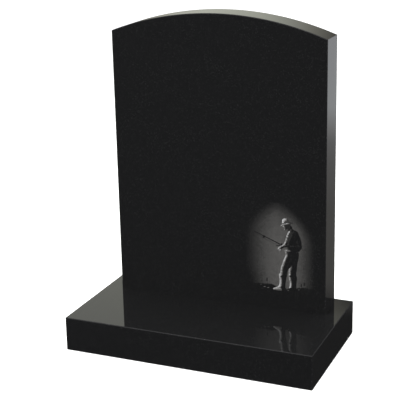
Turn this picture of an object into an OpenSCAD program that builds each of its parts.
// Upright headstone: a flat tablet with a shallow arched top, bedded on a plain block base.
// Millimetres. The origin is the middle of the base's underside, and the face looks along -Y.

/* [Tablet] */
// Width across the tablet
tablet_w = 533; // [380:1:760]
// Thickness of the tablet, front to back
tablet_t = 76; // [50:1:150]
// Height of the straight sides, from the base up to the shoulders
shoulder_h = 651; // [400:1:900]
// Height of the arched top above the shoulders
arch_rise = 49; // [25:1:150]
// Width of the small flat worked along each exposed edge of the tablet
tablet_arris = 1.5; // [0.5:0.1:6]

/* [Base] */
// Height of the base
base_h = 82; // [50:1:150]
// How far the base stands out past each side of the tablet
side_ledge = 38.5; // [10:0.5:120]
// How far the base stands out in front of the tablet
front_ledge = 224; // [60:1:400]
// How far the base stands out behind the tablet
rear_ledge = 30; // [10:1:150]
// Width of the small flat worked along each exposed edge of the base
base_arris = 1.5; // [0.5:0.1:8]

/* [Hidden] */

// The base takes its size from the tablet and from the ledges round it.
base_w = tablet_w + 2 * side_ledge;
base_d = front_ledge + tablet_t + rear_ledge;

// The tablet is centred left to right, and set back on the base.
tablet_y = base_d / 2 - rear_ledge - tablet_t / 2;

// The top is one arc through both shoulders and the crown.
arch_r = (pow(tablet_w / 2, 2) + pow(arch_rise, 2)) / (2 * arch_rise);
arch_centre_z = shoulder_h + arch_rise - arch_r;

// The blank that the arch is cut from stands taller than the crown.
blank_h = shoulder_h + 2 * arch_rise;

// The arch's cut stops just under the shoulders, below its own small flats.
arch_foot_z = shoulder_h - 2 * tablet_arris;

granite = [0.09, 0.09, 0.1];
$fn = 360;

// A rectangle centred on the origin, with its four corners cut off at 45 degrees.
module cut_corner_rect(w, d, cut)
    polygon([
        [-w / 2 + cut, -d / 2], [w / 2 - cut, -d / 2],
        [w / 2, -d / 2 + cut], [w / 2, d / 2 - cut],
        [w / 2 - cut, d / 2], [-w / 2 + cut, d / 2],
        [-w / 2, d / 2 - cut], [-w / 2, -d / 2 + cut]
    ]);

// The side view of a slab on the ground, with only its two upper corners cut off.
module cut_top_profile(w, h, cut)
    polygon([
        [-w / 2, 0], [w / 2, 0],
        [w / 2, h - cut], [w / 2 - cut, h],
        [-w / 2 + cut, h], [-w / 2, h - cut]
    ]);

// A round cutter on its side, axis along Y. Its rim is square across the thickness t, less the
// cut at each face, and slopes in at 45 degrees from there until well clear of both faces.
module arch_disc(r, t, cut)
    rotate([90, 0, 0])
    rotate_extrude()
    polygon([
        [0, -t], [r - cut - t / 2, -t], [r, -t / 2 + cut],
        [r, t / 2 - cut], [r - cut - t / 2, t], [0, t]
    ]);

// The block: three views cut from one another, so that every upper and upright edge is eased.
module base()
    color(granite)
    intersection() {
        linear_extrude(base_h) cut_corner_rect(base_w, base_d, base_arris);
        rotate([90, 0, 0])
            linear_extrude(base_d, center = true) cut_top_profile(base_w, base_h, base_arris);
        rotate([90, 0, 90])
            linear_extrude(base_w, center = true) cut_top_profile(base_d, base_h, base_arris);
    }

// The slab: a straight blank, cut off above the shoulders by the large disc that makes the arch.
module tablet()
    color(granite)
    translate([0, tablet_y, base_h])
    intersection() {
        linear_extrude(blank_h) cut_corner_rect(tablet_w, tablet_t, tablet_arris);
        union() {
            translate([0, 0, arch_centre_z]) arch_disc(arch_r, tablet_t, tablet_arris);
            cube([2 * tablet_w, 2 * tablet_t, 2 * arch_foot_z], center = true);
        }
    }

base();
tablet();
